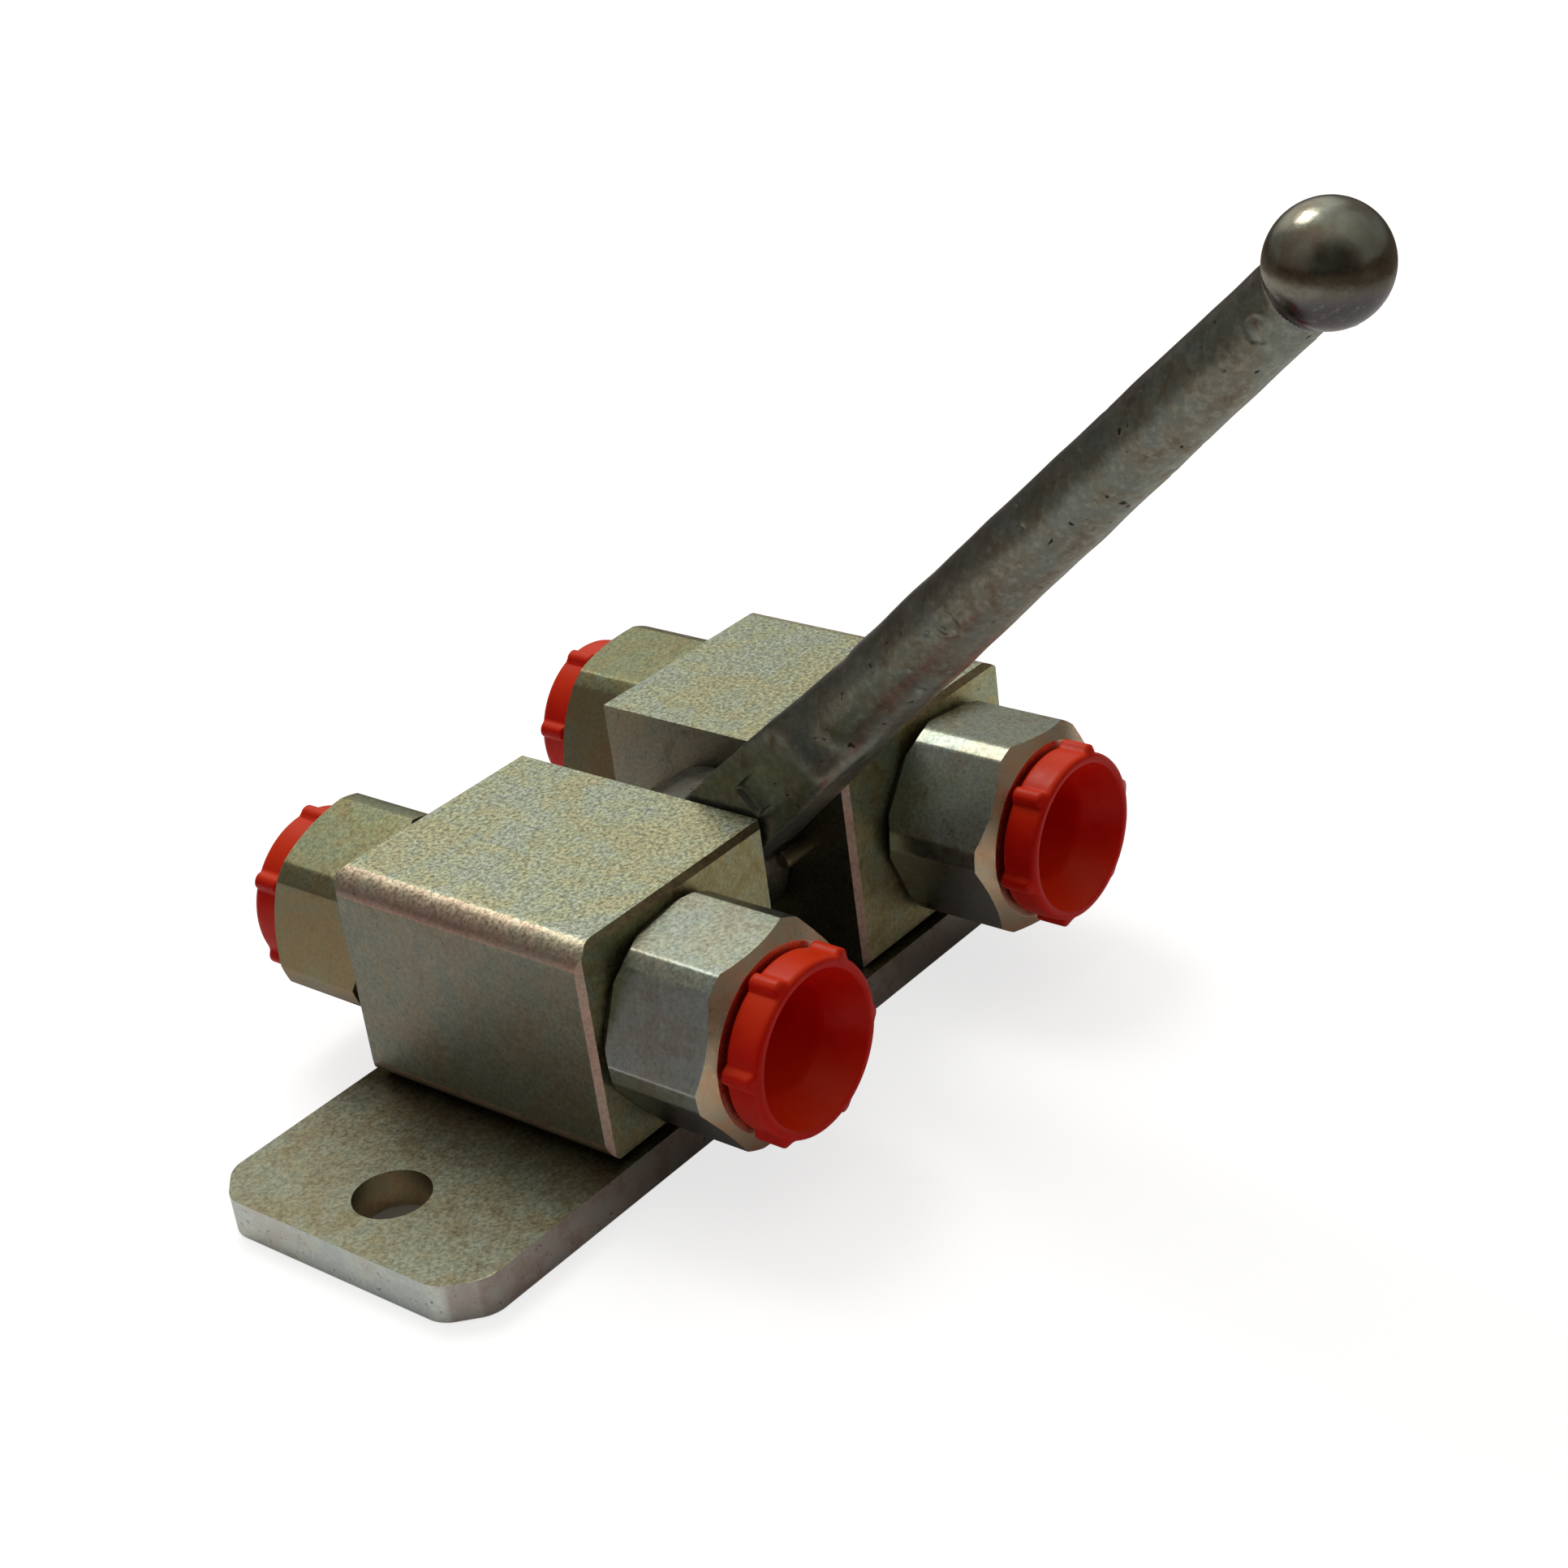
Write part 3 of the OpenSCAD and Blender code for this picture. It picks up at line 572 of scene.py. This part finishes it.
def plug_profile():
    """(radius, height, kind) from the closed foot up the outside, over the rim and down the recess."""
    foot, base, top = PLUG_FOOT, COLLAR_BASE, PLUG_TOP
    floor, knee, lip = foot + PLUG_WALL, base - 0.4, top - 0.4
    rows = [(0, foot, PLAIN), (6, foot, PLAIN), (8, foot + 0.05, PLAIN), (8.7, foot + 0.5, PLAIN)]
    rows += [(STUD_R, h, THREAD) for h in evenly(foot + 1.2, base - 0.8, 40)]
    rows += [(STUD_R, base - 0.3, PLAIN), (STUD_R + 0.3, base, PLAIN), (COLLAR_R - 1.0, base, PLAIN),
             (COLLAR_R - 0.35, base + 0.05, LOW_RIB), (COLLAR_R - 0.08, base + 0.30, RIB)]
    rows += [(COLLAR_R, h, RIB) for h in evenly(base + 0.6, top - 0.9, 12)]
    rows += [(COLLAR_R - 0.06, top - 0.55, LOW_RIB), (COLLAR_R - 0.22, top - 0.22, PLAIN),
             (COLLAR_R - 0.5, top - 0.05, PLAIN), (COLLAR_R - 0.75, top, PLAIN),
             (RIM_R + 0.45, top, PLAIN), (RIM_R + 0.15, top - 0.10, PLAIN), (RIM_R, lip, PLAIN)]
    for t in evenly(0, 1, 10)[1:]:
        rows.append((RIM_R + (KNEE_R - RIM_R) * t, lip + (knee - lip) * t, PLAIN))
    for t in evenly(0, 1, 10)[1:]:
        rows.append((KNEE_R - 1.9 * t**1.6, knee + (floor + 0.6 - knee) * t, PLAIN))
    rows += [(6.0, floor + 0.25, PLAIN), (5.5, floor + 0.04, PLAIN), (4.5, floor + 0.02, PLAIN),
             (2.0, floor + 0.02, PLAIN), (0, floor + 0.02, PLAIN)]
    return rows


def plug_mesh(name, side, way):
    rows = plug_profile()
    turn = math.radians(-WAYS[way] * RIB_TURN[f"{side}_{way}"])

    def radius(i, a):
        r, h, kind = rows[i]
        if kind == THREAD:
            phase = (h / PITCH - a / (2 * math.pi)) % 1.0
            ends = min(1.0, max(0.0, h - PLUG_FOOT - 1.2), max(0.0, COLLAR_BASE - 0.9 - h))
            r += THREAD_OUT * ends * max(0.0, 1 - abs(phase - 0.5) * 3.2)
        elif kind != PLAIN:
            off = (a - turn + RIB_STEP / 2) % RIB_STEP - RIB_STEP / 2
            x = off * r / RIB_HALF
            if abs(x) < 1:
                share = 0.45 if kind == LOW_RIB else 1.0
                r += share * RIB_OUT * math.sqrt(1 - x * x) ** 0.8
        return r * MM

    verts, faces = lathe([h * MM for _, h, _ in rows], 240, radius)
    bm = bmesh.new()
    vs = [bm.verts.new(v) for v in verts]
    for f in faces:
        bm.faces.new([vs[i] for i in f])
    bmesh.ops.remove_doubles(bm, verts=bm.verts, dist=1e-7)
    bm.transform(port_place(side, way))
    bmesh.ops.recalc_face_normals(bm, faces=bm.faces)
    mesh = bpy.data.meshes.new(name)
    bm.to_mesh(mesh)
    bm.free()
    return mesh


def build_plugs():
    for side in SIDES:
        for way in WAYS:
            node = f"{side}_{way}_plug"
            add(f"{node}_moulding", plug_mesh(f"{node}_mesh", side, way), BODY_OF[node],
                [MATERIALS["plug"]], [node])


def lever_coordinates(co):
    """Points of the row, one to a line, in the lever's own frame."""
    back = np.array(LEVER_TO_ROW.inverted())
    return co @ back[:3, :3].T + back[:3, 3]


BLEND_FROM, BLEND_TO = 35 * MM, 66 * MM
MARKS_AT = (143.9 * MM, 78.4 * MM)
MARK_R = 1.9 * MM
WAVES, PITS = 26, 34


def melt(piece):
    """Remeshes the lever and smooths it, most of all where the flat root turns into the round arm."""
    m = piece.modifiers.new("skin", "REMESH")
    m.mode = "VOXEL"
    m.voxel_size = 0.34 * MM
    m.use_smooth_shade = True
    applied(piece)
    group = piece.vertex_groups.new(name="blend")
    for vertex in piece.data.vertices:
        along = (LEVER_TO_ROW.inverted() @ vertex.co).z
        rise = max(0.0, (along - BLEND_FROM) / (5 * MM))
        fall = max(0.0, (BLEND_TO - along) / (8 * MM))
        weight = min(1.0, rise, fall)
        if weight > 0:
            group.add([vertex.index], weight, "REPLACE")
    for name, turns, members in (("melt", 6, ""), ("blend", 120, "blend")):
        m = piece.modifiers.new(name, "SMOOTH")
        m.factor = 0.5
        m.iterations = turns
        m.vertex_group = members
    applied(piece)


def read_vertices(mesh, what):
    values = np.empty(len(mesh.vertices) * 3)
    mesh.vertices.foreach_get(what, values)
    return values.reshape(-1, 3)


def cast_marks(mesh):
    """Parting line, ejector marks, unevenness and pits, pushed into the lever's skin."""
    co = read_vertices(mesh, "co")
    normal = read_vertices(mesh, "normal")
    p = lever_coordinates(co)
    x, y, s = p[:, 0], p[:, 1], p[:, 2]
    n = normal @ np.array(LEVER_TO_ROW.to_3x3())
    move = np.zeros(len(p))
    before_knob = s < LEVER_LENGTH - KNOB_R
    # parting line left by the die, above and below the arm
    ridge = np.exp(-((x / (0.35 * MM)) ** 2)) * (np.abs(n[:, 1]) > 0.6)
    move += 0.09 * MM * ridge * (s > 14 * MM) * (s < LEVER_LENGTH - 2 * MM)
    # round ejector marks on both sides: a sunk disc with a thin raised lip
    for mark_s in MARKS_AT:
        d = np.hypot(y + 0.6 * MM, s - mark_s)
        disc = np.clip((MARK_R - d) / (0.25 * MM), 0, 1)
        lip = np.exp(-(((d - MARK_R - 0.1 * MM) / (0.22 * MM)) ** 2))
        side = (np.abs(n[:, 0]) > 0.5) & (s > 30 * MM) & before_knob
        move += (-0.10 * MM * disc + 0.07 * MM * lip) * side
    # shallow unevenness of the cast skin, from a few long waves
    rng = np.random.default_rng(SEED)
    for _ in range(WAVES):
        k = rng.normal(size=3)
        k *= 2 * math.pi / (rng.uniform(5, 16) * MM) / np.linalg.norm(k)
        wave = np.sin(p @ k + rng.uniform(0, 2 * math.pi))
        move += 0.011 * MM * wave * (s > 10 * MM) * before_knob
    # pits where the metal didn't fill
    for _ in range(PITS):
        pit_s = rng.uniform(34, 138) * MM
        angle = rng.uniform(0, 2 * math.pi)
        r = ARM_TIP_R + (ARM_ROOT_R - ARM_TIP_R) * (LEVER_LENGTH - pit_s) / (LEVER_LENGTH - ARM_ROOT_S)
        centre = np.array([r * math.cos(angle), r * math.sin(angle), pit_s])
        d = np.linalg.norm(p - centre, axis=1)
        size = rng.uniform(0.25, 0.6) * MM
        move -= 0.25 * MM * np.exp(-((d / size) ** 2))
    co += normal * move[:, None]
    mesh.vertices.foreach_set("co", co.ravel())
    mesh.update()


def build_lever():
    """The casting: remeshed from the CAD so that its parts melt together, then marked."""
    node = "lever"
    piece = add("lever_casting_piece", clean_copy(node), BODY_OF[node],
                [MATERIALS["cast"], MATERIALS["knob"]], [node])
    melt(piece)
    cast_marks(piece.data)
    # the ball end is rubbed smooth
    for polygon in piece.data.polygons:
        q = LEVER_TO_ROW.inverted() @ polygon.center
        near_ball = (q - Vector((0, 0, LEVER_LENGTH))).length < KNOB_R + 0.6 * MM
        polygon.use_smooth = True
        if near_ball and q.z > LEVER_LENGTH - 5.6 * MM:
            polygon.material_index = 1


FINISH = {"ball": "ball", "seat": "seat", "o_ring": "seal", "washer": "seat", "stem": "stem", "pins": "pin",
          "block_screws": "screw", "set_screws": "dark_screw"}


def dress_inner_nodes():
    """The pieces whose CAD shape is already right keep it, and get their own finish."""
    for node, obj in NODES.items():
        if obj.hide_render:
            continue
        key = next(FINISH[k] for k in FINISH if node.endswith(k))
        obj.data.materials.clear()
        obj.data.materials.append(MATERIALS[key])


build_blocks()
build_plate()
build_connectors()
build_plugs()
build_lever()
dress_inner_nodes()


# ---------------------------------------------------------------------------
# floor, light and camera
# ---------------------------------------------------------------------------


PAPER_SHADE = [(0.52, 0.52, 0.52), (0.55, 0.55, 0.55)]
# painted shadow on the paper under the plate
UNDER_PLATE_SHADOW = (0.10, 0.09, 0.07)
UNDER_PLATE_SHADOW_GLOW = (0.05, 0.045, 0.035)
PAPER_GLOW = 0.74


def floor_sheet(name, height):
    bpy.ops.mesh.primitive_plane_add(size=6, location=(0, 0, height))
    sheet = bpy.context.object
    sheet.name = name
    return sheet


def build_floor():
    """White paper for the camera with a painted shadow under the plate, and below it the table that the metal
    reflects.
    """
    paper = floor_sheet("floor_paper", -0.0002)
    s = Shader("floor_paper", roughness=0.9)
    outside = [s.span(s.math("ABSOLUTE", s.place(axis)), half - 6 * MM, half - 4 * MM)
               for axis, half in (("X", PLATE_HIGH.x), ("Y", PLATE_HIGH.y))]
    lit = s.math("MAXIMUM", *outside)
    # painted shadow: the paper is dark under the plate, in colour and in glow
    s.finish(s.mix(lit, UNDER_PLATE_SHADOW, s.mix(s.noise(400, 2), *PAPER_SHADE)))
    s.put(s.bsdf.inputs["Emission Color"], s.mix(lit, UNDER_PLATE_SHADOW_GLOW, (1, 1, 1)))
    s.bsdf.inputs["Emission Strength"].default_value = PAPER_GLOW
    paper.data.materials.append(s.material)
    paper.visible_glossy = paper.visible_diffuse = paper.visible_shadow = False
    table = floor_sheet("floor_table", -0.0003)
    s = Shader("floor_table", roughness=0.9)
    s.bsdf.inputs["Specular IOR Level"].default_value = 0.0
    far = s.node("ShaderNodeVectorMath", operation="LENGTH")
    s.put(far.inputs[0], s.coords)
    edge = s.span(far.outputs["Value"], 0.22, 0.42, smooth=True)
    s.finish(s.mix(edge, (0.90, 0.86, 0.84), (0.20, 0.15, 0.12)))
    table.data.materials.append(s.material)
    table.visible_camera = False


def area_light(name, place, size, power):
    """A square light that faces the row's origin."""
    data = bpy.data.lights.new(name, "AREA")
    data.size = size
    data.energy = power
    light = bpy.data.objects.new(name, data)
    bpy.context.scene.collection.objects.link(light)
    light.location = place
    light.rotation_euler = (-Vector(place)).to_track_quat("-Z", "Y").to_euler()
    return light


KEY_WAY = Vector((0.176, 0.41, 0.885))
FILL_AT = Vector((0.2, 0.3, 1.2))
WINDOW_WAY = Vector((0.50, 0.60, 0.62))
WINDOW_COLOUR = (0.78, 0.78, 0.73, 1)
NEAR_WAY = Vector((-0.75, -0.60, 0.25))
# the room's colours from straight below (0) over the horizon (0.5) to overhead (1)
STUDIO = [(0.0, (0.33, 0.34, 0.35)), (0.40, (0.10, 0.075, 0.06)), (0.50, (0.062, 0.048, 0.040)),
          (0.58, (0.18, 0.17, 0.16)), (0.74, (0.20, 0.19, 0.18)), (0.84, (0.28, 0.27, 0.26)),
          (1.0, (0.45, 0.44, 0.42))]


def build_light():
    """A room that is bright overhead and behind the valve, and dark at the horizon and around the camera."""
    area_light("key", KEY_WAY, 0.32, 2.0)
    fill = area_light("fill", FILL_AT, 1.2, 1.6)
    fill.visible_glossy = False
    world = bpy.data.worlds.new("studio")
    bpy.context.scene.world = world
    world.use_nodes = True
    tree = world.node_tree
    new, link = tree.nodes.new, tree.links.new
    coords = new("ShaderNodeTexCoord").outputs["Generated"]

    def toward(way, low, high, to_low, to_high):
        """Blends from one value to another as the view turns towards a direction."""
        dot = new("ShaderNodeVectorMath")
        dot.operation = "DOT_PRODUCT"
        link(coords, dot.inputs[0])
        dot.inputs[1].default_value = way.normalized()
        blend = new("ShaderNodeMapRange")
        blend.interpolation_type = "SMOOTHSTEP"
        link(dot.outputs["Value"], blend.inputs["Value"])
        for key, value in (("From Min", low), ("From Max", high), ("To Min", to_low), ("To Max", to_high)):
            blend.inputs[key].default_value = value
        return blend.outputs["Result"]

    split = new("ShaderNodeSeparateXYZ")
    link(coords, split.inputs["Vector"])
    height = new("ShaderNodeMapRange")
    height.inputs["From Min"].default_value = -1.0
    link(split.outputs["Z"], height.inputs["Value"])
    ramp = new("ShaderNodeValToRGB")
    link(height.outputs["Result"], ramp.inputs["Fac"])
    elements = ramp.color_ramp.elements
    while len(elements) < len(STUDIO):
        elements.new(0.5)
    for element, (place, colour) in zip(elements, STUDIO):
        element.position = place
        element.color = (*colour, 1)
    mix = new("ShaderNodeMix")
    mix.data_type = "RGBA"
    link(toward(WINDOW_WAY, 0.80, 0.97, 0.0, 1.0), mix.inputs["Factor"])
    link(ramp.outputs["Color"], mix.inputs["A"])
    mix.inputs["B"].default_value = WINDOW_COLOUR
    room = tree.nodes["Background"]
    link(toward(NEAR_WAY, 0.55, 0.90, 1.0, 0.28), room.inputs["Strength"])
    link(mix.outputs["Result"], room.inputs["Color"])
    # the picture itself sees a white backdrop behind the floor
    backdrop = new("ShaderNodeBackground")
    backdrop.inputs["Color"].default_value = (1, 1, 1, 1)
    seen = new("ShaderNodeMixShader")
    link(new("ShaderNodeLightPath").outputs["Is Camera Ray"], seen.inputs["Fac"])
    link(room.outputs["Background"], seen.inputs[1])
    link(backdrop.outputs["Background"], seen.inputs[2])
    link(seen.outputs["Shader"], tree.nodes["World Output"].inputs["Surface"])
    bpy.context.scene.view_settings.view_transform = "Standard"


CAMERA_AT = Vector((-269.93, -263.92, 228.64)) * MM
CAMERA_AIM = Vector((20.64, -1.93, 27.28)) * MM
CAMERA_ROLL = math.radians(-7.845)
CAMERA_LENS = 65.08


def build_camera():
    """Stands where the photograph was taken from, a little tilted to one side."""
    data = bpy.data.cameras.new("camera")
    data.lens = CAMERA_LENS
    data.sensor_width = 36
    data.clip_start = 0.01
    camera = bpy.data.objects.new("camera", data)
    bpy.context.scene.collection.objects.link(camera)
    aim = (CAMERA_AIM - CAMERA_AT).to_track_quat("-Z", "Y").to_matrix().to_4x4()
    camera.matrix_world = Matrix.Translation(CAMERA_AT) @ aim @ Matrix.Rotation(CAMERA_ROLL, 4, "Z")
    bpy.context.scene.camera = camera


build_floor()
build_light()
build_camera()
